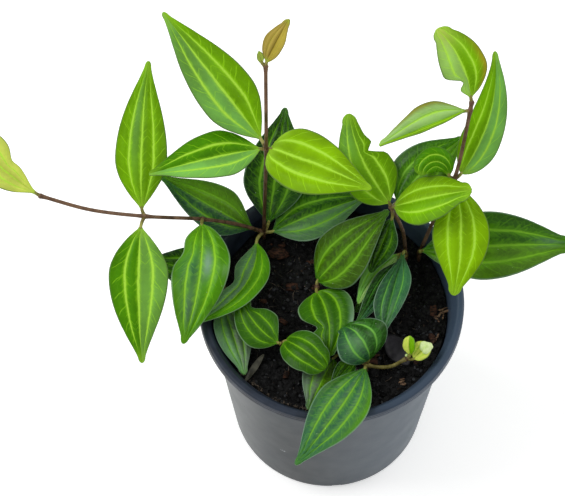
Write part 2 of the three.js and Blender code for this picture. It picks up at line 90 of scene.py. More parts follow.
FOOT_NOTCHES = 6
NOTCH_INSET = 2
FIRST_NOTCH = -83
NOTCH = (12, 4, 3.2)
SCUFF = (-0.019, -0.0424, 0.1155)
SCUFF_STRETCH = (1, 1, 3)


def outer_radius(z):
    return FOOT_RADIUS + (WALL_TOP_RADIUS - FOOT_RADIUS) * z / BAND_BOTTOM


def inner_radius(z):
    return outer_radius(z) - WALL


def tone(code):
    """A colour written as six hex digits, as the shader wants it."""
    parts = [int(code[i:i + 2], 16) / 255 for i in (0, 2, 4)]
    return tuple(c / 12.92 if c <= 0.04045 else ((c + 0.055) / 1.055) ** 2.4 for c in parts) + (1,)


def turned(bm, profile, turns):
    """Spins a closed profile of radius and height about the Z axis."""
    dots = [bm.verts.new((r, 0, z)) for r, z in profile]
    wire = dots + [bm.edges.new(pair) for pair in zip(dots, dots[1:])]
    bmesh.ops.spin(bm, geom=wire, axis=(0, 0, 1), cent=(0, 0, 0), angle=2 * math.pi,
                   steps=turns, use_merge=True)
    bmesh.ops.remove_doubles(bm, verts=bm.verts, dist=0.001)
    bmesh.ops.recalc_face_normals(bm, faces=bm.faces)


def finished(name, bm, materials, nodes=(), crease=None):
    """Puts a modelled piece into the scene at its real size, smooth, riding on the root body."""
    bmesh.ops.scale(bm, vec=(MM, MM, MM), verts=bm.verts)
    mesh = bpy.data.meshes.new(name)
    bm.to_mesh(mesh)
    bm.free()
    mesh.polygons.foreach_set("use_smooth", [True] * len(mesh.polygons))
    if crease:
        mesh.set_sharp_from_angle(angle=math.radians(crease))
    for material in materials:
        mesh.materials.append(material)
    piece = bpy.data.objects.new(name, mesh)
    bpy.context.collection.objects.link(piece)
    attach(piece, "root")
    if nodes:
        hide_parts(*nodes)
    return piece


def add(tree, kind, inputs=None, **settings):
    """One shader node with its settings, its values and what feeds it."""
    made = tree.nodes.new(kind)
    for key, value in settings.items():
        setattr(made, key, value)
    for key, value in (inputs or {}).items():
        if isinstance(value, bpy.types.NodeSocket):
            tree.links.new(value, made.inputs[key])
        else:
            made.inputs[key].default_value = value
    return made


def maths(tree, operation, a, b=0.0):
    return add(tree, "ShaderNodeMath", {0: a, 1: b}, operation=operation).outputs[0]


def ramp(tree, value, low, high, to_low=0.0, to_high=1.0):
    """A soft step of a value from low to high."""
    inputs = {"Value": value, "From Min": low, "From Max": high, "To Min": to_low, "To Max": to_high}
    return add(tree, "ShaderNodeMapRange", inputs, interpolation_type="SMOOTHSTEP").outputs["Result"]


def mixed(tree, share, a, b):
    return add(tree, "ShaderNodeMix", {0: share, 6: a, 7: b}, data_type="RGBA").outputs[2]


def own_place(tree, stretch=(1, 1, 1)):
    """The place on the piece itself, in metres."""
    place = add(tree, "ShaderNodeTexCoord").outputs["Object"]
    if stretch == (1, 1, 1):
        return place
    return add(tree, "ShaderNodeMapping", {"Vector": place, "Scale": stretch}).outputs[0]


def grain(tree, scale, detail=2.0, stretch=(1, 1, 1)):
    """Noise on the piece's own place, with its scale per metre."""
    inputs = {"Vector": own_place(tree, stretch), "Scale": scale, "Detail": detail}
    return add(tree, "ShaderNodeTexNoise", inputs).outputs["Fac"]


def new_material(name, **constants):
    """A Principled material. Spaces in the shader's socket names are underscores here."""
    material = bpy.data.materials.new(name)
    material.use_nodes = True
    shader = material.node_tree.nodes["Principled BSDF"]
    for key, value in constants.items():
        shader.inputs[key.replace("_", " ")].default_value = value
    return material, material.node_tree, shader


def bumped(tree, shader, height, strength, distance):
    bump = add(tree, "ShaderNodeBump", {"Height": height, "Strength": strength, "Distance": distance})
    tree.links.new(bump.outputs[0], shader.inputs["Normal"])


wall_plastic, tree, shader = new_material("pot wall", Specular_IOR_Level=0.27)
across_pot, _, height = add(tree, "ShaderNodeSeparateXYZ", {0: own_place(tree)}).outputs
# Painted light and reflection: the wall's colour turns paler grey towards the left side (painted light) and
# bluish towards the right side (painted reflection).
painted_light_left = ramp(tree, across_pot, -0.015, -0.052)
painted_reflection_right = ramp(tree, across_pot, -0.015, 0.048)
soft_patches = ramp(tree, grain(tree, 22, 2), 0.3, 0.7)
dusty = maths(tree, "MULTIPLY", ramp(tree, height, 0.02, 0.0), ramp(tree, grain(tree, 220, 3), 0.4, 0.7))
specks = ramp(tree, grain(tree, 150, 3), 0.7, 0.76)
colour = mixed(tree, soft_patches, tone("1a2226"), tone("222b31"))
colour = mixed(tree, painted_light_left, colour, tone("66696a"))
colour = mixed(tree, painted_reflection_right, colour, tone("4a5763"))
colour = mixed(tree, maths(tree, "MULTIPLY", dusty, 0.25), colour, tone("585b5c"))
colour = mixed(tree, maths(tree, "MULTIPLY", specks, 0.4), colour, tone("24292e"))
from_scuff = add(tree, "ShaderNodeVectorMath", {0: own_place(tree, SCUFF_STRETCH), 1: SCUFF},
                 operation="DISTANCE").outputs["Value"]
scratches = ramp(tree, grain(tree, 1100, 3), 0.42, 0.56)
scuff = maths(tree, "MULTIPLY", ramp(tree, from_scuff, 0.0022, 0.0012), scratches)
colour = mixed(tree, scuff, colour, tone("a9aeb2"))
tree.links.new(colour, shader.inputs["Base Color"])
tree.links.new(ramp(tree, grain(tree, 90, 5), 0.2, 0.8, 0.42, 0.5), shader.inputs["Roughness"])
bumped(tree, shader, grain(tree, 1400, 3), 0.12, 0.0002)

rim_plastic, tree, shader = new_material("pot rim", Specular_IOR_Level=0.22)
across_pot = add(tree, "ShaderNodeSeparateXYZ", {0: own_place(tree)}).outputs["X"]
colour = mixed(tree, ramp(tree, grain(tree, 130, 4), 0.35, 0.65), tone("1d232d"), tone("2a323f"))
# Painted reflection: the rim and the pot's inside turn bluish towards the right side.
colour = mixed(tree, ramp(tree, across_pot, -0.02, 0.05), colour, tone("3a4859"))
tree.links.new(colour, shader.inputs["Base Color"])
tree.links.new(ramp(tree, grain(tree, 90, 5), 0.2, 0.8, 0.3, 0.42), shader.inputs["Roughness"])
bumped(tree, shader, grain(tree, 900, 3), 0.15, 0.0002)

bm = bmesh.new()
turned(bm, [
    (0, 0), (17, 0), (19, FOOT_HOLLOW), (36.6, FOOT_HOLLOW), (37.6, 0), (41.6, 0), (42.3, 0.3),
    (FOOT_RADIUS, 1), (outer_radius(ABOVE_FOOT), ABOVE_FOOT), (outer_radius(LOWER_WALL), LOWER_WALL),
    (outer_radius(UPPER_WALL), UPPER_WALL), (outer_radius(LEDGE) - LEDGE_STEP, LEDGE),
    (WALL_TOP_RADIUS, LEDGE + LEDGE_STEP), (WALL_TOP_RADIUS, BAND_BOTTOM), (56.2, BAND_BOTTOM),
    (RIM_RADIUS, 99.4), (RIM_RADIUS, 100.5), (RIM_RADIUS - GROOVE, 100.75), (RIM_RADIUS, 101),
    (RIM_RADIUS, 101.9), (RIM_RADIUS - GROOVE, 102.15), (RIM_RADIUS, 102.4), (RIM_RADIUS, 103),
    (56.45, 103.55), (56.1, 103.9), (55.6, POT_TOP), (54.4, POT_TOP), (53.8, 103.85), (53.3, 103.3),
    (51.4, 99.9), (51, BAND_BOTTOM), (inner_radius(UPPER_WALL), UPPER_WALL),
    (inner_radius(LOWER_WALL), LOWER_WALL), (inner_radius(FLOOR_TOP), FLOOR_TOP),
    (18, FLOOR_TOP), (16, WALL), (0, WALL),
], POT_TURNS)
for face in bm.faces:
    middle = face.calc_center_median()
    inside = middle.xy.length < outer_radius(middle.z) - WALL / 2
    if middle.z > GLOSSY_FROM or (middle.z > GLOSSY_INSIDE_FROM and inside):
        face.material_index = 1
pot = finished("pot_shell", bm, [wall_plastic, rim_plastic], ["pot"])

cutter_bm = bmesh.new()
for i in range(DRAIN_HOLES):
    turn = Matrix.Rotation(2 * math.pi * i / DRAIN_HOLES, 4, "Z")
    bmesh.ops.create_cone(cutter_bm, cap_ends=True, segments=DRAIN_HOLE_SIDES,
                          radius1=DRAIN_HOLE_RADIUS, radius2=DRAIN_HOLE_RADIUS, depth=DRAIN_HOLE_DEPTH,
                          matrix=turn @ Matrix.Translation((DRAIN_CIRCLE, 0, DRAIN_HOLE_MIDDLE)))
for i in range(FOOT_NOTCHES):
    turn = Matrix.Rotation(math.radians(FIRST_NOTCH) + 2 * math.pi * i / FOOT_NOTCHES, 4, "Z")
    place = Matrix.Translation((FOOT_RADIUS - NOTCH_INSET, 0, 0))
    bmesh.ops.create_cube(cutter_bm, size=1, matrix=turn @ place @ Matrix.Diagonal((*NOTCH, 1)))
bmesh.ops.scale(cutter_bm, vec=(MM, MM, MM), verts=cutter_bm.verts)
cutter_mesh = bpy.data.meshes.new("drainage")
cutter_bm.to_mesh(cutter_mesh)
cutter_bm.free()
cutter = bpy.data.objects.new("drainage", cutter_mesh)
bpy.context.collection.objects.link(cutter)
cut = pot.modifiers.new("drainage", "BOOLEAN")
cut.operation = "DIFFERENCE"
cut.solver = "EXACT"
cut.object = cutter
whole = pot.data
pot.data = bpy.data.meshes.new_from_object(pot.evaluated_get(bpy.context.evaluated_depsgraph_get()))
pot.modifiers.clear()
pot.data.set_sharp_from_angle(angle=math.radians(POT_CREASE))
bpy.data.meshes.remove(whole)
bpy.data.objects.remove(cutter)
bpy.data.meshes.remove(cutter_mesh)


# The soil: a black peat mix with bark, filled to a finger's width below the rim and settled by
# watering, so that its top is lumpy. Crumbs, bark, splintered wood, root fibres and two dry
# leaves lie loose on it.
SOIL_LEVEL = 92
SOIL_TURNS = 240
SOIL_RINGS = 78
SOIL_CLEARANCE = 0.6
SOIL_FLOOR = 4.6
SOIL_MIDDLE = 50
CRUMBS = 2200
WET_CRUMBS = 700
BROWN_CRUMBS = 260
CRUMB_CREASE = 25
BARK_CHIPS = 34
CHIP_PROPORTIONS = (3.2, 2, 1)
CHIP_BEVEL = 0.28
CHIP_CREASE = 35
SPLINTERS_A_PLACE = 3
FIBRES = 170
CRUST_FIBRES = 170
CRUST_SECTOR = (-143, -92)
DUST_GRAINS = 60
DRY_LEAF_THICKNESS = 0.3
SEED = 11


def soil_height(x, y):
    big = 0.7 * math.sin(x / 5.3 + 1.1) * math.cos(y / 4.7) + 0.45 * math.sin((x + 1.7 * y) / 3.1)
    fine = noise.noise((x / 2.2, y / 2.2, 1.7)) * 0.9 + noise.noise((x / 0.9, y / 0.9, 4.1)) * 0.45
    return SOIL_LEVEL + big + 0.3 * math.cos(x / 2.3) + fine


def mottled(name, dark, light, scale, bump, rough=(0.6, 0.9), stretch=(1, 1, 1), spec=0.3):
    """A dull natural stuff: its colour wanders from dark to light over its own grain."""
    material, tree, shader = new_material(name, Specular_IOR_Level=spec)
    patches = ramp(tree, grain(tree, scale, 5, stretch), 0.36, 0.66)
    tree.links.new(mixed(tree, patches, tone(dark), tone(light)), shader.inputs["Base Color"])
    tree.links.new(ramp(tree, grain(tree, 1.5 * scale, 3), 0.3, 0.7, *rough), shader.inputs["Roughness"])
    bumped(tree, shader, grain(tree, 2.6 * scale, 6, stretch), 0.8, bump)
    return material


peat = mottled("peat", "030303", "1b1b1b", 380, 0.0018, (0.45, 0.85), spec=0.16)
wet_peat = mottled("wet peat", "08090b", "24282d", 500, 0.0008, (0.3, 0.6), spec=0.5)
earth = mottled("brown crumb", "140f0c", "352921", 420, 0.0006, spec=0.15)
bark = mottled("bark", "150e0a", "4a3023", 420, 0.0007, stretch=(1, 3, 2), spec=0.15)
fibre = mottled("root fibre", "2e2a26", "766a5c", 700, 0.0002, spec=0.15)
splinter = mottled("splintered wood", "3a2a20", "866c54", 500, 0.0004, stretch=(1, 3, 2), spec=0.15)
dark_leaf = mottled("rotted leaf", "17151a", "26242a", 120, 0.0003, (0.45, 0.6))
straw_leaf = mottled("dried leaf", "33322a", "5c5b4c", 180, 0.0004, (0.5, 0.7))

bm = bmesh.new()
top_radius = inner_radius(SOIL_LEVEL) - SOIL_CLEARANCE
turned(bm, [
    (0, 1.6), (15, 1.6), (17, SOIL_FLOOR), (inner_radius(SOIL_FLOOR) - SOIL_CLEARANCE, SOIL_FLOOR),
    (inner_radius(SOIL_MIDDLE) - SOIL_CLEARANCE, SOIL_MIDDLE),
    *[(top_radius * (1 - i / SOIL_RINGS), SOIL_LEVEL) for i in range(SOIL_RINGS + 1)],
], SOIL_TURNS)
for corner in bm.verts:
    if corner.co.z > SOIL_LEVEL - 0.5:
        corner.co.z = soil_height(corner.co.x, corner.co.y)
finished("soil_bed", bm, [peat], ["soil"])

scatter = random.Random(SEED)
noise.seed_set(SEED)


def spot(margin):
    """A random place on the soil, with its height."""
    turn, out = scatter.uniform(0, 2 * math.pi), math.sqrt(scatter.random()) * (top_radius - margin)
    x, y = out * math.cos(turn), out * math.sin(turn)
    return Vector((x, y, soil_height(x, y)))


def tumbled(place, size):
    """A matrix for a loose bit of soil of this size, lying any way round."""
    turn = Matrix.Rotation(scatter.uniform(0, 2 * math.pi), 4, "Z")
    tilt = Matrix.Rotation(scatter.uniform(-0.5, 0.5), 4, "X")
    return Matrix.Translation(place) @ turn @ tilt @ Matrix.Diagonal((*size, 1))


def crumbs(name, count, smallest, largest, material):
    bm = bmesh.new()
    for i in range(count):
        size = smallest + (largest - smallest) * scatter.random() ** 2
        shape = (size, size * scatter.uniform(0.6, 1), size * scatter.uniform(0.4, 0.9))
        bmesh.ops.create_icosphere(bm, subdivisions=1, radius=1, matrix=tumbled(spot(1.5), shape))
    for corner in bm.verts:
        corner.co += 0.25 * noise.noise_vector(corner.co / 0.8)
    finished(name, bm, [material], crease=CRUMB_CREASE)


def slab(bm, place, size):
    """One flat piece of bark with knocked-off edges."""
    block = bmesh.ops.create_cube(bm, size=1, matrix=tumbled(place, size))["verts"]
    edges = list({edge for corner in block for edge in corner.link_edges})
    bmesh.ops.bevel(bm, geom=edges, offset=CHIP_BEVEL * min(size), affect="EDGES", segments=1,
                    profile=0.5, material=-1)


crumbs("soil_crumbs", CRUMBS, 0.3, 1.9, peat)
crumbs("wet_crumbs", WET_CRUMBS, 0.3, 1.3, wet_peat)
crumbs("brown_crumbs", BROWN_CRUMBS, 0.25, 0.9, earth)

bm = bmesh.new()
for i in range(BARK_CHIPS):
    size = scatter.uniform(0.6, 1.7)
    slab(bm, spot(4) + Vector((0, 0, 0.3)), [size * share for share in CHIP_PROPORTIONS])
bmesh.ops.subdivide_edges(bm, edges=bm.edges, cuts=1, use_grid_fill=True)
for corner in bm.verts:
    corner.co += 0.6 * noise.noise_vector(corner.co / 1.5)
finished("bark_chips", bm, [bark], crease=CHIP_CREASE)

bm = bmesh.new()
for x, y, length, turn in ((48.3, 0.6, 5, 20), (47.4, -1.2, 4, 65), (45.6, -3, 5, -50), (45, -13, 4, 70),
                           (31, -33.5, 4, 15)):
    for i in range(SPLINTERS_A_PLACE):
        here = Vector((x + scatter.uniform(-1, 1), y + 1.1 * i, soil_height(x, y) + 0.7))
        shape = (length * scatter.uniform(0.5, 1), scatter.uniform(0.5, 1.1), 0.5, 1)
        angle = math.radians(turn + scatter.uniform(-14, 14))
        bmesh.ops.create_icosphere(bm, subdivisions=3, radius=0.5, matrix=Matrix.Translation(here)
                                   @ Matrix.Rotation(angle, 4, "Z") @ Matrix.Diagonal(shape))
for corner in bm.verts:
    corner.co += 0.3 * noise.noise_vector(corner.co / 0.9)
finished("wood_splinters", bm, [splinter])

BARK_SLAB = Vector((-23.5, 26.5, 93.6))
bm = bmesh.new()
bmesh.ops.create_icosphere(bm, subdivisions=4, radius=1, matrix=Matrix.Translation(BARK_SLAB)
                           @ Matrix.Rotation(math.radians(-8), 4, "Z") @ Matrix.Diagonal((4.6, 2.7, 1.3, 1)))
for corner in bm.verts:
    corner.co += 0.9 * noise.noise_vector(corner.co / 2.4) + 0.35 * noise.noise_vector(corner.co / 0.8)
finished("bark_slab", bm, [bark])


def framed(points):
    """A turned frame at each point of a path, for rings to stand on."""
    frames = []
    ahead = (points[1] - points[0]).normalized()
    turn = Vector((0, 0, 1)).rotation_difference(ahead)
    for i, place in enumerate(points):
        following = points[min(i + 1, len(points) - 1)] - points[max(i - 1, 0)]
        turn = ahead.rotation_difference(following.normalized()) @ turn
        ahead = following.normalized()
        frames.append(Matrix.Translation(place) @ turn.to_matrix().to_4x4())
    return frames


def tube(bm, points, radii, sides):
    """A closed round bar along points. Its ring is extruded from each point to the next."""
    frames = framed(points)
    ring = bmesh.ops.create_circle(bm, cap_ends=True, segments=sides, radius=1)["verts"]
    cap = ring[0].link_faces[0]
    standing = frames[0] @ Matrix.Diagonal((radii[0], radii[0], radii[0], 1))
    bmesh.ops.transform(bm, matrix=standing, verts=ring)
    made = list(ring)
    for frame_here, radius in zip(frames[1:], radii[1:]):
        grown = bmesh.ops.extrude_face_region(bm, geom=[cap])["geom"]
        cap = next(part for part in grown if isinstance(part, bmesh.types.BMFace))
        wanted = frame_here @ Matrix.Diagonal((radius, radius, radius, 1))
        bmesh.ops.transform(bm, matrix=wanted @ standing.inverted(), verts=list(cap.verts))
        standing = wanted
        made += cap.verts
    return made


def lay_fibre(bm, start, length, width):
    """A hair-thin root that starts at a place on the soil and bends as it lies."""
    turn = scatter.uniform(0, 2 * math.pi)
    path = []
    for k in range(6):
        way = Vector((math.cos(turn + 0.1 * k), math.sin(turn + 0.1 * k), 0)) * (k * length / 5)
        path.append(start + way + Vector((0, 0, 0.35 + 0.5 * math.sin(k * math.pi / 5))))
    tube(bm, path, [width * share for share in (0.5, 1, 1, 1, 0.8, 0.3)], 4)


bm = bmesh.new()
for i in range(FIBRES):
    lay_fibre(bm, spot(7), scatter.uniform(2, 6), scatter.uniform(0.06, 0.14))
for i in range(CRUST_FIBRES):
    turn, out = math.radians(scatter.uniform(*CRUST_SECTOR)), top_radius - scatter.uniform(0.4, 1.8)
    start = Vector((out * math.cos(turn), out * math.sin(turn), 0))
    start.z = soil_height(start.x, start.y)
    inward = start - start.xy.normalized().to_3d() * 0.8
    lay_fibre(bm, inward, scatter.uniform(0.5, 1.3), scatter.uniform(0.08, 0.22))
for i in range(DUST_GRAINS):
    size = scatter.uniform(0.2, 0.5)
    shape = (size, size * 0.8, size * 0.5)
    lying = tumbled(spot(3) + Vector((0, 0, 0.5)), shape)
    bmesh.ops.create_icosphere(bm, subdivisions=1, radius=1, matrix=lying)
bmesh.ops.recalc_face_normals(bm, faces=bm.faces)
finished("root_fibres", bm, [fibre])


def lay_dry_leaf(name, material, tail, tip, width, curl):
    """A dead leaf that lies on the soil from tail to tip, with its edges curled up."""
    bm = bmesh.new()
    bmesh.ops.create_grid(bm, x_segments=24, y_segments=12, size=1)
    tail, tip = Vector(tail), Vector(tip)
    sideways = (tip - tail).cross(Vector((0, 0, 1))).normalized()
    for corner in bm.verts:
        u, v = (corner.co.x + 1) / 2, corner.co.y
        half = width / 2 * max(0.06, math.sin(math.pi * u) ** 0.7)
        place = tail.lerp(tip, u) + sideways * (v * half)
        place.z += curl * v * v + 0.25 * noise.noise(place / 2.1) + 0.5 * math.sin(math.pi * u)
        corner.co = place
    dry = finished(name, bm, [material])
    thick = dry.modifiers.new("thickness", "SOLIDIFY")
    thick.thickness = DRY_LEAF_THICKNESS * MM
    thick.offset = 0


lay_dry_leaf("rotted_leaf", dark_leaf, (24.5, -11.5, 93.6), (33.5, -25, 93.4), 10.5, 0.6)
lay_dry_leaf("dried_leaf", straw_leaf, (-27.8, -22.6, 94.3), (-35.3, -35.4, 93.6), 2.8, 0.5)


# The stems: soft, round and reddish brown, rooted in the mix, with a swollen joint wherever leaves
# grow. The thin stalk of each leaf runs from its joint to the blade and turns green on the way.
STEM_RADIUS = 0.8
STALK_RADIUS = 0.7
JOINT_RADIUS = 1.2
STEM_FOOT = 68
STEM_SIDES = 14
STEM_SWELLING = 0.4
SWELLING_REACH = 1.8
FOOT_STEPS = 8
BEND_STEPS = 14
JOINT_RINGS = 10
STALK_SIDES = 12
STALK_STEPS = 10
STALK_START = 1.25
STALK_TAPER = 0.35
INTO_BLADE = 0.8
GREEN_BY_STEP = 7
MIDRIB_STEPS = 400

joints = {
    "tall_low": (-30, 34, 99), "tall_middle": (-29.5, 51, 141), "tall_tip": (-30, 66, 183),
    "trail_near": (-56, 30, 116), "trail_far": (-79.5, 23.5, 129), "trail_tip": (-122, 21.5, 147.5),
    "centre_low": (31.5, 24.5, 99), "centre_top": (24, 31, 130), "right_low": (37.3, 25.8, 99.5),
    "right_middle": (50, 39.5, 141), "right_top": (54.6, 54.4, 172), "right_tip": (55, 56, 176),
    "mid_top": (-6.2, 8, 99), "front_top": (15.6, -28, 99), "sprout_tip": (32.7, -26.5, 103.5),
    "side_top": (-20.2, -19.6, 99), "rim_top": (-46, 4, 98.5),
}


def bent(points, steps):
    """Points along a smooth bend through the given points."""
    points = [Vector(p) for p in points]
    line = [2 * points[0] - points[1], *points, 2 * points[-1] - points[-2]]
    path = [points[0]]
    for a, b, c, d in zip(line, line[1:], line[2:], line[3:]):
        before, here, after = math.sqrt((b - a).length), math.sqrt((c - b).length), math.sqrt((d - c).length)
        leave = ((b - a) / before - (c - a) / (before + here) + (c - b) / here) * here
        arrive = ((c - b) / here - (d - b) / (here + after) + (d - c) / after) * here
        path += geometry.interpolate_bezier(b, b + leave / 3, c - arrive / 3, c, steps + 1)[1:]
    return path


stem_skin, tree, shader = new_material("stem skin", Specular_IOR_Level=0.25)
greening = add(tree, "ShaderNodeAttribute", attribute_name="greening").outputs["Fac"]
height = add(tree, "ShaderNodeSeparateXYZ", {0: own_place(tree)}).outputs["Z"]
streaks = ramp(tree, grain(tree, 420, 3, (1, 1, 0.3)), 0.3, 0.7)
brown = mixed(tree, streaks, tone("3a2a1a"), tone("5e442e"))
paler_brown = mixed(tree, streaks, tone("58402e"), tone("785c44"))
# The stems are paler brown higher up, above the pot's rim.
brown = mixed(tree, ramp(tree, height, 0.104, 0.13), brown, paler_brown)
green = mixed(tree, streaks, tone("74722c"), tone("9c9c50"))
tree.links.new(mixed(tree, greening, brown, green), shader.inputs["Base Color"])
tree.links.new(ramp(tree, grain(tree, 300, 3), 0.3, 0.7, 0.4, 0.55), shader.inputs["Roughness"])
bumped(tree, shader, grain(tree, 800, 4, (1, 1, 0.4)), 0.4, 0.0003)


def midrib(leaf):
    """The leaf's midrib in its own frame, in even small steps: place, direction, left and upper side."""
    def turn_at(u):
        pitch = Matrix.Rotation(math.radians(leaf.get("arch", 0)) * (u - 0.5), 3, "Y")
        return Matrix.Rotation(-math.radians(leaf.get("sweep", 0)) * (u - 0.5), 3, "Z") @ pitch
    places = [Vector()]
    for i in range(MIDRIB_STEPS):
        places.append(places[-1] + turn_at((i + 0.5) / MIDRIB_STEPS) @ Vector((1, 0, 0)))
    size = leaf["reach"] / places[-1].length
    made = []
    for i, place in enumerate(places):
        twist = Matrix.Rotation(math.radians(leaf.get("twist", 0)) * i / MIDRIB_STEPS, 3, "X")
        ahead, left, up = (turn_at(i / MIDRIB_STEPS) @ twist).transposed()
        made.append((place * size, ahead, left, up))
    return made


def placed(leaf):
    """How the whole leaf is turned on its joint."""
    heading = Matrix.Rotation(math.radians(leaf["heading"]), 3, "Z")
    rise = Matrix.Rotation(-math.radians(leaf["rise"]), 3, "Y")
    return heading @ rise @ Matrix.Rotation(math.radians(leaf.get("roll", 0)), 3, "X")


def make_stem(name, lowest, lines, leaves, stem_green):
    """One rooted stem with its lines from joint to joint and the stalks of its leaves."""
    bm = bmesh.new()
    ripening = bm.verts.layers.float.new("greening")
    foot = Vector(joints[lowest])
    swellings = [foot] + [Vector(joints[p]) for line in lines for p in line if p in joints]
    deep = STEM_FOOT - foot.z
    paths = [[foot + Vector((0, 0, deep * (1 - i / FOOT_STEPS))) for i in range(FOOT_STEPS + 1)]]
    paths += [bent([joints.get(p, p) if isinstance(p, str) else p for p in line], BEND_STEPS)
              for line in lines]
    for path in paths:
        radii = []
        for place in path:
            near = min((place - joint).length for joint in swellings)
            radii.append(STEM_RADIUS * (1 + STEM_SWELLING * math.exp(-(near / SWELLING_REACH) ** 2)))
        for corner in tube(bm, path, radii, STEM_SIDES):
            corner[ripening] = stem_green
    for joint in swellings:
        bmesh.ops.create_uvsphere(bm, u_segments=STEM_SIDES, v_segments=JOINT_RINGS,
                                  radius=JOINT_RADIUS, matrix=Matrix.Translation(joint))
    for leaf in leaves:
        base, start = Vector(leaf["base"]), Vector(joints[leaf["joint"]])
        ahead = placed(leaf) @ midrib(leaf)[0][1]
        end = base + INTO_BLADE * ahead
        elbow = end - 0.5 * (start - end).length * ahead
        path = []
        radii = []
        for i in range(STALK_STEPS + 1):
            t = i / STALK_STEPS
            path.append(start.lerp(elbow, t).lerp(elbow.lerp(end, t), t))
            radii.append(STALK_RADIUS * (STALK_START - STALK_TAPER * i / STALK_STEPS))
        for i, corner in enumerate(tube(bm, path, radii, STALK_SIDES)):
            corner[ripening] = max(stem_green, min(1, (i // STALK_SIDES) / GREEN_BY_STEP))
    bmesh.ops.recalc_face_normals(bm, faces=bm.faces)
    return finished(name + "_skin", bm, [stem_skin], [name])


# The leaves: pointed, fleshy blades under a millimetre thick, glossy above and pale below. Three
# sunken light veins run from base to tip, with feathery side veins, and the edge is thinner.
ROWS = 40
STRIPS = 32
BLADE_THICKNESS = 0.75
EDGE_SHARE = 0.45
BASE_HALF_WIDTH = 0.8
TIP_RADIUS = 1.2
TIP_ROUNDING = 2
WIDEST_AT = 0.36
BASE_EASE = 0.93
TIP_EASE = 1.1
QUILTED_FROM = 4
COCKLES_ALONG = 5
COCKLE_HEIGHT = 0.9
HALVES_CONTRAST = 8
FRESH_SHARE = 0.65
LATERAL = 0.47
CORE_WIDTH = 0.065
TICKS_ALONG = 21.0
ARCS_ALONG = 9.0
NET_SCALE = 360
FLECK_SCALE = 420
EDGE_FROM = 0.945
DARK_MOTTLE = 0.72
BRIGHT_MOTTLE = 1.8
UNDERSIDE_BAND = 0.12

# Painted light: the mint, sage, silver and ice tones and the pale green 9aca5e tone are painted sheen and
# reflection, the paler or bluer halves and spots a glossy blade shows where it mirrors a bright surround.
tones = {
    "lime": "80b200", "fern": "72ac00", "bright": "669a00", "grass": "4b8c00", "painted_sheen_mint": "78b850",
    "painted_sheen_sage": "6ba03c", "moss": "306400", "leafy": "569600", "forest": "1c4c00", "deep": "143a04",
    "teal": "275434", "silver": "557f52", "olive": "3c6000", "sallow": "4f7c14", "dull": "5c7259",
    "cream": "b6cb58", "ochre": "b6a440", "blush": "a09020", "pale": "a4cc78", "painted_reflection_ice": "86ad8c",
    "straw": "d0de5e", "jade": "336a42", "painted_sheen_pale": "9aca5e", "tan": "b29e48",
}
tones = {name: Vector(tone(code)) for name, code in tones.items()}

veins = bpy.data.node_groups.new("leaf veins", "ShaderNodeTree")
for title, standard in (("Band", UNDERSIDE_BAND), ("Ragged", 0.3)):
    veins.interface.new_socket(title, in_out="INPUT", socket_type="NodeSocketFloat").default_value = standard
for title in ("Core", "Band", "Ticks", "Arcs", "Net", "Edge", "Flecks", "Height"):
    veins.interface.new_socket(title, in_out="OUTPUT", socket_type="NodeSocketFloat")
given = add(veins, "NodeGroupInput")
put_out = add(veins, "NodeGroupOutput")
spread = add(veins, "ShaderNodeSeparateXYZ", {0: add(veins, "ShaderNodeUVMap", uv_map="blade").outputs[0]})
along = spread.outputs["X"]


def swing(scale, share, detail=2.0):
    """A slow drift either way, by share of its full size."""
    return maths(veins, "MULTIPLY", maths(veins, "SUBTRACT", grain(veins, scale, detail), 0.5), share)


def veil(x, y):
    """Noise laid on the blade's own map, a little different on every leaf."""
    drift = maths(veins, "MULTIPLY", grain(veins, 9, 0), 30)
    spot_here = add(veins, "ShaderNodeCombineXYZ", {0: x, 1: y, 2: drift}).outputs[0]
    inputs = {"Vector": spot_here, "Scale": 1.0, "Detail": 2.0}
    return add(veins, "ShaderNodeTexNoise", inputs).outputs["Fac"]


def line(distance, width):
    """A soft line where a distance is under a width."""
    return ramp(veins, distance, width * 0.35, width, 1.0, 0.0)


side = maths(veins, "SUBTRACT", maths(veins, "MULTIPLY", spread.outputs["Y"], 2.0), 1.0)
signed = maths(veins, "ADD", side, maths(veins, "ADD", swing(90, 0.09), swing(420, 0.05)))
across = maths(veins, "ABSOLUTE", signed)
past_lateral = maths(veins, "SUBTRACT", across, LATERAL)
to_vein = maths(veins, "MINIMUM", across, maths(veins, "ABSOLUTE", past_lateral))
core = line(to_vein, CORE_WIDTH)
comb = maths(veins, "SUBTRACT", along, maths(veins, "MULTIPLY", to_vein, 0.2))
comb = maths(veins, "ADD", comb, maths(veins, "ADD", swing(14, 0.5, 0), swing(260, 0.03)))
feathers = veil(maths(veins, "MULTIPLY", comb, 42), maths(veins, "MULTIPLY", signed, 4))
feathers = maths(veins, "SUBTRACT", feathers, 0.5)
reach = maths(veins, "ADD", to_vein, maths(veins, "MULTIPLY", feathers, given.outputs["Ragged"]))
band = ramp(veins, maths(veins, "DIVIDE", reach, given.outputs["Band"]), 0.1, 1.0, 1.0, 0.0)
teeth = line(maths(veins, "PINGPONG", maths(veins, "MULTIPLY", comb, TICKS_ALONG), 0.5), 0.12)
tooth_length = veil(maths(veins, "MULTIPLY", comb, 10), maths(veins, "SIGN", signed))
tooth_length = ramp(veins, tooth_length, 0.4, 0.62, 0.0, 0.3)
past_tooth = maths(veins, "SUBTRACT", to_vein, tooth_length)
ticks = maths(veins, "MULTIPLY", teeth, ramp(veins, past_tooth, -0.12, 0.0, 1.0, 0.0))
arching = maths(veins, "SUBTRACT", along, maths(veins, "MULTIPLY", past_lateral, 0.24))
arching = maths(veins, "ADD", arching, maths(veins, "ADD", swing(17, 0.5, 0), swing(150, 0.02)))
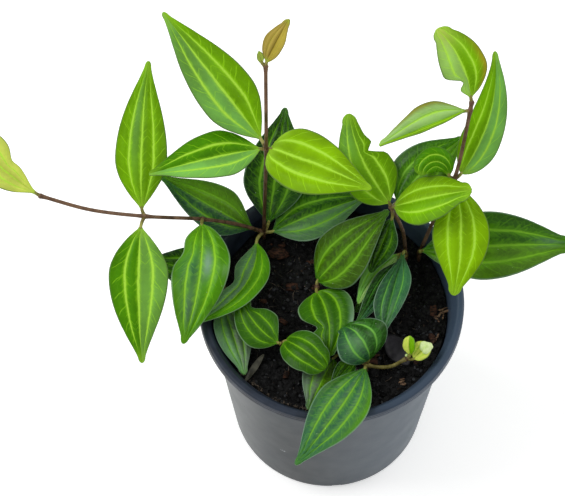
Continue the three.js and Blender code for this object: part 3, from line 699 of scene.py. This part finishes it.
arcs = line(maths(veins, "PINGPONG", maths(veins, "MULTIPLY", arching, ARCS_ALONG), 0.5), 0.06)
before_edge = ramp(veins, across, 0.84, 0.95, 1.0, 0.0)
outer_zone = maths(veins, "MULTIPLY", ramp(veins, past_lateral, 0.0, 0.04), before_edge)
arcs = maths(veins, "MULTIPLY", arcs, outer_zone)
cells = add(veins, "ShaderNodeTexVoronoi", {"Vector": own_place(veins), "Scale": NET_SCALE},
            feature="DISTANCE_TO_EDGE")
net = ramp(veins, cells.outputs["Distance"], 0.0, 0.1, 1.0, 0.0)
edge = ramp(veins, maths(veins, "ABSOLUTE", side), EDGE_FROM, 0.98)
dots = add(veins, "ShaderNodeTexVoronoi", {"Vector": own_place(veins), "Scale": FLECK_SCALE})
flecked = ramp(veins, grain(veins, 90, 2), 0.52, 0.62)
flecks = maths(veins, "MULTIPLY", ramp(veins, dots.outputs["Distance"], 0.03, 0.09, 1.0, 0.0), flecked)
sunk = maths(veins, "ADD", maths(veins, "MULTIPLY", core, 0.7), maths(veins, "MULTIPLY", ticks, 0.3))
sunk = maths(veins, "ADD", sunk, maths(veins, "MULTIPLY", arcs, 0.35))
height = maths(veins, "SUBTRACT", maths(veins, "MULTIPLY", grain(veins, 700, 2), 0.16), sunk)
for title, socket in (("Core", core), ("Band", band), ("Ticks", ticks), ("Arcs", arcs), ("Net", net),
                      ("Edge", edge), ("Flecks", flecks), ("Height", height)):
    veins.links.new(socket, put_out.inputs[title])


def leaf_skin(name, colours, band, ragged, shares, gloss, shine):
    """A leaf's upper skin. Its ground colour comes from the blade, the veins' look from here:
    colours are those of vein, band and edge, shares say how strongly each mark shows."""
    material, tree, shader = new_material(name, Specular_IOR_Level=shine)
    vein, halo, rim = (tone(code) for code in colours)
    pattern = add(tree, "ShaderNodeGroup", node_tree=veins)
    pattern.inputs["Band"].default_value = band
    pattern.inputs["Ragged"].default_value = ragged
    ground = add(tree, "ShaderNodeAttribute", attribute_name="tint").outputs["Color"]
    dark = add(tree, "ShaderNodeHueSaturation", {"Color": ground, "Value": DARK_MOTTLE}).outputs[0]
    bright = add(tree, "ShaderNodeHueSaturation", {"Color": ground, "Value": BRIGHT_MOTTLE}).outputs[0]
    halo = mixed(tree, 0.3, halo, bright)
    colour = mixed(tree, ramp(tree, grain(tree, 75, 4), 0.3, 0.7), dark, ground)
    marks = (("Net", halo), ("Band", halo), ("Ticks", halo), ("Arcs", halo), ("Core", vein), ("Edge", rim),
             ("Flecks", tone("dfe8d8")))
    for (mark, paint), share in zip(marks, shares):
        colour = mixed(tree, maths(tree, "MULTIPLY", pattern.outputs[mark], share), colour, paint)
    tree.links.new(colour, shader.inputs["Base Color"])
    tree.links.new(ramp(tree, grain(tree, 160, 3), 0.3, 0.7, gloss, gloss + 0.12), shader.inputs["Roughness"])
    bumped(tree, shader, pattern.outputs["Height"], 0.45, 0.0006)
    return material


skins = {
    "young": leaf_skin("young leaf", ("b2e448", "92ca1a", "5d7a3c"), 0.14, 0.14,
                       (0.06, 0.7, 0.45, 0.6, 0.75, 0.75, 0.1), 0.36, 0.08),
    "grown": leaf_skin("grown leaf", ("94ce2a", "70ac0c", "7f9f78"), 0.2, 0.32,
                       (0.08, 0.75, 0.45, 0.5, 0.75, 0.65, 0.4), 0.32, 0.16),
    "old": leaf_skin("old leaf", ("80bc26", "5c960a", "86a68c"), 0.24, 0.5,
                     (0.25, 0.8, 0.5, 0.5, 0.7, 0.45, 0.6), 0.28, 0.22),
    "shaded": leaf_skin("shaded leaf", ("7ac048", "4a8c34", "86a68c"), 0.24, 0.5,
                        (0.25, 0.6, 0.4, 0.5, 0.7, 0.6, 0.6), 0.28, 0.2),
    # Painted shade: a dimmer copy of the grown skin, with darker veins and fainter marks, for grown leaves
    # low in the plant.
    "painted_shade_grown": leaf_skin("dusky leaf", ("82bc1c", "5c9208", "7f9f78"), 0.19, 0.3,
                       (0.08, 0.6, 0.3, 0.4, 0.65, 0.65, 0.4), 0.32, 0.15),
    "folded": leaf_skin("folded bud", ("b8b048", "a09a3c", "7c7434"), 0.14, 0.2,
                        (0, 0.5, 0.2, 0.2, 0.6, 0.5, 0), 0.4, 0.1),
}
quilting = {"young": 0.2, "grown": 0.28, "old": 0.34}
fresh_ends = {"young": Vector(tone("a2d03a")), "grown": Vector(tone("6aa818")), "old": Vector(tone("3c7c10"))}

underside, tree, shader = new_material("leaf underside", Specular_IOR_Level=0.25)
pattern = add(tree, "ShaderNodeGroup", node_tree=veins)
ground = add(tree, "ShaderNodeAttribute", attribute_name="tint").outputs["Color"]
ground = mixed(tree, 0.45, ground, tone("9fc178"))
ground = mixed(tree, maths(tree, "MULTIPLY", pattern.outputs["Core"], 0.5), ground, tone("c4dba0"))
ground = mixed(tree, maths(tree, "MULTIPLY", pattern.outputs["Net"], 0.2), ground, tone("b9d498"))
tree.links.new(ground, shader.inputs["Base Color"])
tree.links.new(ramp(tree, grain(tree, 160, 3), 0.3, 0.7, 0.5, 0.65), shader.inputs["Roughness"])
bumped(tree, shader, maths(tree, "SUBTRACT", 0.0, pattern.outputs["Height"]), 0.4, 0.0006)


def half_width(leaf, u, side):
    """Half the blade's width at u, from 0 at its base to 1 at its tip, on its left (1) or right (-1)."""
    tip = leaf.get("tip", TIP_RADIUS)
    at = min(u, 1 - TIP_ROUNDING * tip / leaf["reach"])
    widest = leaf.get("widest", WIDEST_AT) + side * leaf.get("stagger", 0)
    from_base = math.sin(math.pi / 2 * min(1, at / widest)) ** leaf.get("base_ease", BASE_EASE)
    from_tip = math.sin(math.pi / 2 * min(1, (1 - at) / (1 - widest))) ** leaf.get("tip_ease", TIP_EASE)
    half = leaf["width"] / 2 * from_base * from_tip
    for bitten, where, depth, span in leaf.get("notches", ()):
        if bitten == side:
            half *= 1 - depth * math.exp(-((at - where) / span) ** 2)
    rounding = (u - at) * leaf["reach"] / (TIP_ROUNDING * tip)
    blunted = math.hypot(half, BASE_HALF_WIDTH + (tip - BASE_HALF_WIDTH) * at)
    return blunted * math.sqrt(max(0, 1 - rounding ** 2))


def eased(t):
    """Even steps from 0 to 1, drawn closer together near both ends."""
    return (1 - math.cos(math.pi * t)) / 2


def ground_colour(leaf, u, v):
    """The blade's ground colour at u along it and v across it, from its right to its left edge. Halves and
    patches in the painted sheen and painted reflection tones are painted light.
    """
    left, right = tones[leaf["left"]], tones[leaf["right"]]
    colour = right.lerp(left, min(1, max(0, 0.5 + HALVES_CONTRAST * v)))
    colour = colour * (1 + 0.12 * math.cos(2 * math.pi * (abs(v) - 0.5) / 1.1))
    for along, across, length, width, name in leaf.get("patches", ()):
        near = math.exp(-((u - along) / length) ** 2 - ((v - across) / width) ** 2)
        colour = colour.lerp(tones[name], near)
    fresh = max(math.exp(-(u / 0.07) ** 2), 0.7 * math.exp(-((1 - u) / 0.09) ** 2))
    return colour.lerp(fresh_ends[leaf["age"]], FRESH_SHARE * fresh)


def make_blade(leaf):
    """One leaf blade: a fine grid laid along its midrib, quilted between the veins and given its
    thickness. The blade map runs from base to tip and from its right edge to its left edge."""
    bm = bmesh.new()
    blade_map = bm.loops.layers.uv.new("blade")
    tint = bm.verts.layers.float_color.new("tint")
    thinning = bm.verts.layers.deform.verify()
    bmesh.ops.create_grid(bm, x_segments=ROWS, y_segments=STRIPS, size=1, calc_uvs=True)
    for face in bm.faces:
        for loop in face.loops:
            loop[blade_map].uv.x = eased(loop[blade_map].uv.x)
    rib, turn, base = midrib(leaf), placed(leaf), Vector(leaf["base"])
    fold, cup, wave = leaf.get("fold", 0), leaf.get("cup", 0), leaf.get("wave", 0)
    narrowing = math.hypot(1, fold + cup)
    for corner in bm.verts:
        u, v = eased((corner.co.x + 1) / 2), corner.co.y
        at, _, side_way, up = rib[round(u * MIDRIB_STEPS)]
        half = half_width(leaf, u, -1 if v < 0 else 1)
        lift = half * (fold * abs(v) + cup * v * v)
        ripple = math.sin(4 * math.pi * u + math.pi * (v > 0)) * math.sin(math.pi * u)
        lift += wave * leaf["width"] * v * v * ripple
        room = min(1, half / QUILTED_FROM)
        swell = quilting[leaf["age"]] * math.cos(2 * math.pi * abs(v) / LATERAL)
        if abs(v) >= 1.5 * LATERAL:
            swell = 0
        lift += room * (0.1 - swell)
        cockle = noise.noise((base.x + COCKLES_ALONG * u, base.y + 0.8 * v, base.z))
        lift += room * COCKLE_HEIGHT * v * v * cockle
        corner.co = base + turn @ (at + side_way * (v * half / narrowing) + up * lift)
        corner[tint] = ground_colour(leaf, u, v)
        corner[thinning][0] = 1 - (1 - EDGE_SHARE) * abs(v) ** 3
    bmesh.ops.remove_doubles(bm, verts=bm.verts, dist=0.002)
    skin = skins[leaf.get("skin", leaf["age"])]
    blade = finished(leaf["name"] + "_blade", bm, [skin, underside], [leaf["name"]])
    blade.vertex_groups.new(name="thinning")
    thick = blade.modifiers.new("thickness", "SOLIDIFY")
    thick.thickness = BLADE_THICKNESS * MM
    thick.offset = 0
    thick.vertex_group = "thinning"
    thick.material_offset = 1
    thick.material_offset_rim = 0


def grow(stem, lowest, lines, rows, stem_green=0.0):
    """A stem and its leaves. Each row is a leaf's name, joint, age, colours of its left and right
    half, the place, heading and rise of its blade, its reach and width, and its shape. Patches are
    places along and across the blade, a length, a width and a colour. A half or patch in a painted
    sheen or painted reflection tone is painted light, a paler or bluer area standing in for sheen."""
    titles = ("name", "joint", "age", "left", "right", "base", "heading", "rise", "reach", "width")
    leaves = [{**dict(zip(titles, row)), **row[-1]} for row in rows]
    for leaf in leaves:
        make_blade(leaf)
    make_stem(stem, lowest, lines, leaves, stem_green)


grow("forked_stem", "tall_low", [
    ["tall_low", "tall_middle", "tall_tip"],
    ["tall_low", (-42, 32, 109), "trail_near", "trail_far", (-102, 22, 136), "trail_tip"],
], [
    ("tall_leaf_back", "tall_middle", "young", "painted_sheen_mint", "fern", (-32, 55, 143), 135, 26, 67, 26,
     dict(arch=14, sweep=6, cup=0.12, widest=0.34, patches=[(0.7, 0.5, 0.3, 0.6, "painted_sheen_sage")])),
    ("tall_leaf_left", "tall_middle", "young", "painted_sheen_mint", "grass", (-32, 51, 141), 199, 4, 48.5, 23,
     dict(arch=14, fold=0.22)),
    ("tall_leaf_right", "tall_middle", "young", "lime", "lime", (-27.5, 51, 141.5), 332, 10, 49, 30,
     dict(arch=16, sweep=2, cup=-0.06, widest=0.3, stagger=-0.1, base_ease=0.33)),
    ("tall_bud", "tall_tip", "young", "tan", "ochre", (-29.6, 67.2, 185.2), 54, 42, 20, 10,
     dict(skin="folded", arch=10, fold=0.5, widest=0.42, base_ease=0.7, tip=1.3)),
    ("tall_bud_scale", "tall_tip", "young", "cream", "cream", (-31.8, 67, 184.8), 115, 60, 5, 2.4,
     dict(arch=-20, fold=0.3)),
    ("low_leaf_back", "tall_low", "old", "deep", "forest", (-28, 37.5, 101.5), 83, 25, 50, 27,
     dict(arch=16, cup=0.1)),
    ("low_leaf_right", "tall_low", "old", "forest", "silver", (-26, 34, 99.5), 20, 10, 44, 25,
     dict(arch=16, fold=0.12)),
    ("low_leaf_front", "tall_low", "grown", "grass", "silver", (-33, 27, 101), 241, 9, 49, 15.5,
     dict(arch=18, sweep=72, fold=0.15, notches=[(-1, 0.5, 0.35, 0.1)])),
    ("low_leaf_left", "tall_low", "old", "teal", "sallow", (-35, 34, 101.5), 160, 23, 46, 21,
     dict(patches=[(0.5, -0.4, 0.3, 0.3, "bright")], arch=26, sweep=12, roll=-12, cup=0.1, base_ease=1.1)),
    ("trail_leaf_back", "trail_far", "young", "fern", "bright", (-81, 26, 131.5), 89, 27, 62, 22,
     dict(arch=10, sweep=9, cup=0.05, widest=0.34, patches=[(0.6, 0.25, 0.3, 0.2, "painted_sheen_sage")])),
    ("trail_leaf_front", "trail_far", "young", "painted_sheen_sage", "grass", (-81, 18, 129.5), 273, -24, 57, 25,
     dict(arch=16, sweep=-9, cup=0.06)),
    # Its three patches are painted sheen and painted reflection.
    ("trail_leaf_inner", "trail_near", "grown", "grass", "leafy", (-56, 26, 118.5), 264, -10, 53, 24,
     dict(arch=40, sweep=26, twist=-20, cup=0.1, wave=0.09, widest=0.42, stagger=-0.08, base_ease=0.7,
          notches=[(-1, 0.27, 0.2, 0.08)],
          patches=[(0.42, -0.4, 0.16, 0.4, "jade"), (0.72, -0.3, 0.16, 0.35, "silver"),
                   (0.35, 0.25, 0.1, 0.16, "painted_reflection_ice")])),
    ("trail_leaf_end", "trail_tip", "young", "straw", "straw", (-124, 22, 149), 146, 20, 38, 19,
     dict(arch=16, sweep=22, fold=0.2, wave=0.05, widest=0.6, stagger=-0.12, base_ease=1.2,
          notches=[(-1, 0.42, 0.25, 0.08)])),
])

grow("centre_stem", "centre_low", [["centre_low", (29.5, 28, 115), "centre_top"]], [
    ("centre_leaf_back", "centre_top", "young", "fern", "bright", (23, 32.5, 131.5), 119, 24, 41, 23.5,
     dict(arch=12, sweep=34, cup=0.02, widest=0.3, base_ease=0.7, tip_ease=0.9, tip=2,
          notches=[(-1, 0.58, 0.62, 0.055), (-1, 0.77, 0.35, 0.14)],
          patches=[(0.75, 0.5, 0.25, 0.5, "painted_sheen_sage")])),
    ("centre_leaf_right", "centre_top", "young", "lime", "fern", (25.5, 30.5, 131.5), 358, 30, 36, 23,
     dict(arch=16, cup=-0.1, widest=0.38, base_ease=0.6, tip_ease=0.8, tip=2.2)),
    ("centre_leaf_far", "centre_top", "old", "moss", "sallow", (26.5, 34, 129.5), 44, 16, 39, 25,
     dict(arch=14, sweep=16, cup=0.05)),
    ("centre_leaf_front", "centre_top", "old", "forest", "deep", (24.6, 28, 125.5), 244, -43, 25.5, 13,
     dict(arch=-10, fold=0.1, widest=0.42)),
    ("centre_low_leaf_front", "centre_low", "old", "jade", "teal", (30, 21, 106.9), 258, -2, 39, 14,
     dict(skin="shaded", arch=20, fold=0.3, widest=0.52, stagger=-0.12, base_ease=1.2,
          patches=[(0.8, 0.3, 0.2, 0.3, "silver")])),
    ("centre_low_leaf_pale", "centre_low", "grown", "pale", "painted_sheen_mint", (27.9, 22.7, 102.6), 236, 1, 29, 11,
     dict(arch=8, sweep=-34, fold=0.2)),
    ("centre_low_leaf_dark", "centre_low", "old", "teal", "deep", (29, 18.6, 104.6), 240, 0, 36, 10,
     dict(skin="shaded", arch=16, fold=0.1)),
    ("centre_low_leaf_under", "centre_low", "old", "deep", "deep", (28, 24.3, 97), 237, -1, 31.5, 15,
     dict(arch=10, sweep=-10, fold=0.05)),
])

grow("right_stem", "right_low", [["right_low", (42.6, 32, 118), "right_middle", "right_top", "right_tip"]], [
    ("right_leaf_back", "right_middle", "young", "fern", "painted_sheen_mint", (52.9, 41.5, 142.5), 75, 26, 53, 17,
     dict(arch=14, sweep=-44, fold=0.2, widest=0.27, base_ease=0.6)),
    ("right_leaf_front", "right_middle", "young", "lime", "lime", (51, 37, 140), 270, -27, 46, 24,
     dict(arch=24, sweep=24, cup=-0.08, widest=0.45, tip=1.8)),
    ("right_leaf_curled", "right_middle", "young", "grass", "grass", (47.4, 40.4, 142.6), 184, 4, 11, 13,
     dict(arch=40, sweep=-180, roll=-25, cup=-0.2, widest=0.5, tip_ease=0.7, tip=1.6,
          notches=[(1, 0.5, 0.35, 0.3)])),
    ("right_leaf_folded", "right_top", "young", "lime", "pale", (52.5, 54, 172.5), 201, -12, 38, 17,
     dict(arch=16, sweep=14, fold=0.7, roll=12, tip=1.6, patches=[(0.4, -1, 0.4, 0.15, "blush")])),
    ("right_leaf_top", "right_tip", "young", "painted_sheen_pale", "fern", (54.5, 57.5, 178), 122, 26, 31, 20,
     dict(arch=30, sweep=-32, cup=0.15, widest=0.38, tip_ease=0.75, tip=2,
          notches=[(1, 0.21, 0.75, 0.08)],
          patches=[(0.35, -1, 0.3, 0.25, "blush"), (1, 0, 0.25, 0.8, "cream")])),
    ("right_leaf_low", "right_low", "old", "moss", "sallow", (38.5, 24.5, 104), 1, 7, 65, 30,
     dict(arch=26, roll=14, cup=0.08, widest=0.42, tip=2.8, patches=[(0.85, 0.1, 0.1, 0.3, "silver")])),
])

grow("mid_stem", "mid_top", [], [
    ("mid_leaf_back", "mid_top", "old", "olive", "olive", (-6, 10.5, 100.5), 34, 39, 45, 26.5,
     dict(arch=20, cup=-0.1, widest=0.3, base_ease=0.6)),
    ("mid_leaf_front", "mid_top", "grown", "moss", "moss", (-6.2, 5, 99.5), 280, 2, 31, 24,
     dict(skin="painted_shade_grown", arch=40, sweep=38, cup=0.15, widest=0.32, base_ease=0.5, tip_ease=0.8,
          notches=[(-1, 0.6, 0.5, 0.09)], patches=[(0.7, 0.95, 0.3, 0.12, "painted_reflection_ice")])),
])

grow("front_stem", "front_top", [["front_top", (20, -28.4, 98), (26, -28.2, 98.6), "sprout_tip"]], [
    ("front_leaf_curled", "front_top", "old", "teal", "forest", (16.5, -26.5, 101), 132, 18, 17, 26,
     dict(skin="shaded", arch=165, roll=6, widest=0.45, patches=[(0.5, 0.3, 0.14, 0.4, "silver")])),
    ("front_leaf_long", "front_top", "old", "jade", "jade", (15, -31, 101.5), 240, 7, 55.5, 22.5,
     dict(arch=26, sweep=18, cup=0.1, widest=0.42,
          patches=[(0.35, 1, 0.35, 0.3, "leafy"), (0.2, -0.9, 0.3, 0.3, "moss")])),
    ("front_leaf_dull", "front_top", "old", "olive", "dull", (1.5, -25, 97.5), 249, 6, 27, 18,
     dict(arch=8, fold=0.1)),
    ("front_leaf_narrow", "front_top", "old", "forest", "deep", (10.5, -26.5, 100.5), 235, 3, 16.5, 8,
     dict(arch=14, fold=0.2)),
    ("sprout_leaf_left", "sprout_tip", "young", "straw", "fern", (33.8, -26, 106.6), 94, 38, 7.5, 5.4,
     dict(arch=50, fold=0.3, roll=-20, widest=0.5, tip_ease=0.8, tip=1.4)),
    ("sprout_leaf_right", "sprout_tip", "young", "straw", "straw", (35.8, -27.1, 104.7), 40, 20, 8, 8.4,
     dict(arch=50, fold=0.4, widest=0.5, base_ease=0.6, tip_ease=0.6, tip=2)),
], stem_green=0.45)

grow("side_stem", "side_top", [], [
    ("side_leaf_right", "side_top", "grown", "moss", "moss", (-18.4, -19.2, 101.5), 321, 8, 22, 17,
     dict(skin="painted_shade_grown", arch=80, roll=10, widest=0.48, base_ease=0.4, tip_ease=0.7, tip=3)),
    ("side_leaf_back", "side_top", "grown", "moss", "moss", (-22, -20, 100.8), 129, 11, 27.5, 18.5,
     dict(skin="painted_shade_grown", arch=12, sweep=50, cup=0.05, widest=0.32, notches=[(-1, 0.7, 0.6, 0.09)])),
])

grow("rim_stem", "rim_top", [], [
    ("rim_leaf_front", "rim_top", "old", "dull", "silver", (-46.6, 0, 98.6), 288, 0, 36, 15.5,
     dict(arch=12, fold=0.05, roll=-11, widest=0.44, tip=1.4)),
    ("rim_leaf_left", "rim_top", "old", "forest", "deep", (-47, 7.5, 102), 173, 19, 33, 22,
     dict(arch=26, cup=0.08, base_ease=1.1)),
])

# The sprout's growing tip: a cream knob of leaves still folded tight, and the white scar below it
# where a leaf has come off. Both are soft young tissue.
sprout_skin = mottled("sprout tip", "b4d468", "d8eaa8", 260, 0.0003, (0.4, 0.55), spec=0.2)
SPROUT_KNOB = Vector((40.4, -23.8, 108.8))
KNOB_SIZE = (2.7, 2.9, 2)
FOLDED_LEAVES = 3
SCAR = (32.4, -25.7, 104.5)
SCAR_RADIUS = 0.7
bm = bmesh.new()
bmesh.ops.create_icosphere(bm, subdivisions=4, radius=1, matrix=Matrix.Translation(SPROUT_KNOB)
                           @ Matrix.Diagonal((*KNOB_SIZE, 1)))
for corner in bm.verts:
    out = corner.co - SPROUT_KNOB
    ridge = math.sin(FOLDED_LEAVES * math.atan2(out.y, out.x) + out.z)
    corner.co += out * (0.12 * ridge + 0.1 * noise.noise(corner.co / 1.3))
finished("sprout_knob", bm, [sprout_skin])
bm = bmesh.new()
bmesh.ops.create_icosphere(bm, subdivisions=3, radius=SCAR_RADIUS, matrix=Matrix.Translation(SCAR))
finished("leaf_scar", bm, [sprout_skin])


# The studio: the plant stands on a plain pale floor in an even white surround, as in a product
# picture, with one large soft light to each side.
FLOOR_HALF = 3
FLOOR_GLOW = 0.42
SURROUND = 0.5
LIGHT_AIM = Vector((0, 0, 0.1))
floor_paint, tree, shader = new_material("floor paint", Roughness=0.9, Emission_Strength=FLOOR_GLOW)
tree.links.new(mixed(tree, grain(tree, 4), tone("fafafa"), tone("fdfdfd")), shader.inputs["Base Color"])
shader.inputs["Emission Color"].default_value = (1, 1, 1, 1)
bm = bmesh.new()
bmesh.ops.create_grid(bm, x_segments=1, y_segments=1, size=FLOOR_HALF)
floor_mesh = bpy.data.meshes.new("floor")
bm.to_mesh(floor_mesh)
bm.free()
floor_mesh.materials.append(floor_paint)
floor = bpy.data.objects.new("floor", floor_mesh)
bpy.context.collection.objects.link(floor)

world = bpy.data.worlds.new("studio")
world.use_nodes = True
world.node_tree.nodes["Background"].inputs["Color"].default_value = (1, 1, 1, 1)
world.node_tree.nodes["Background"].inputs["Strength"].default_value = SURROUND
bpy.context.scene.world = world


def soft_light(name, place, watts, size):
    lamp = bpy.data.lights.new(name, "AREA")
    lamp.energy = watts
    lamp.size = size
    light = bpy.data.objects.new(name, lamp)
    light.location = place
    light.rotation_euler = (LIGHT_AIM - light.location).to_track_quat("-Z", "Y").to_euler()
    bpy.context.collection.objects.link(light)


soft_light("left softbox", (-0.8, 0.1, 1.1), 9, 0.8)
soft_light("right softbox", (0.9, 0.5, 1), 5, 0.9)
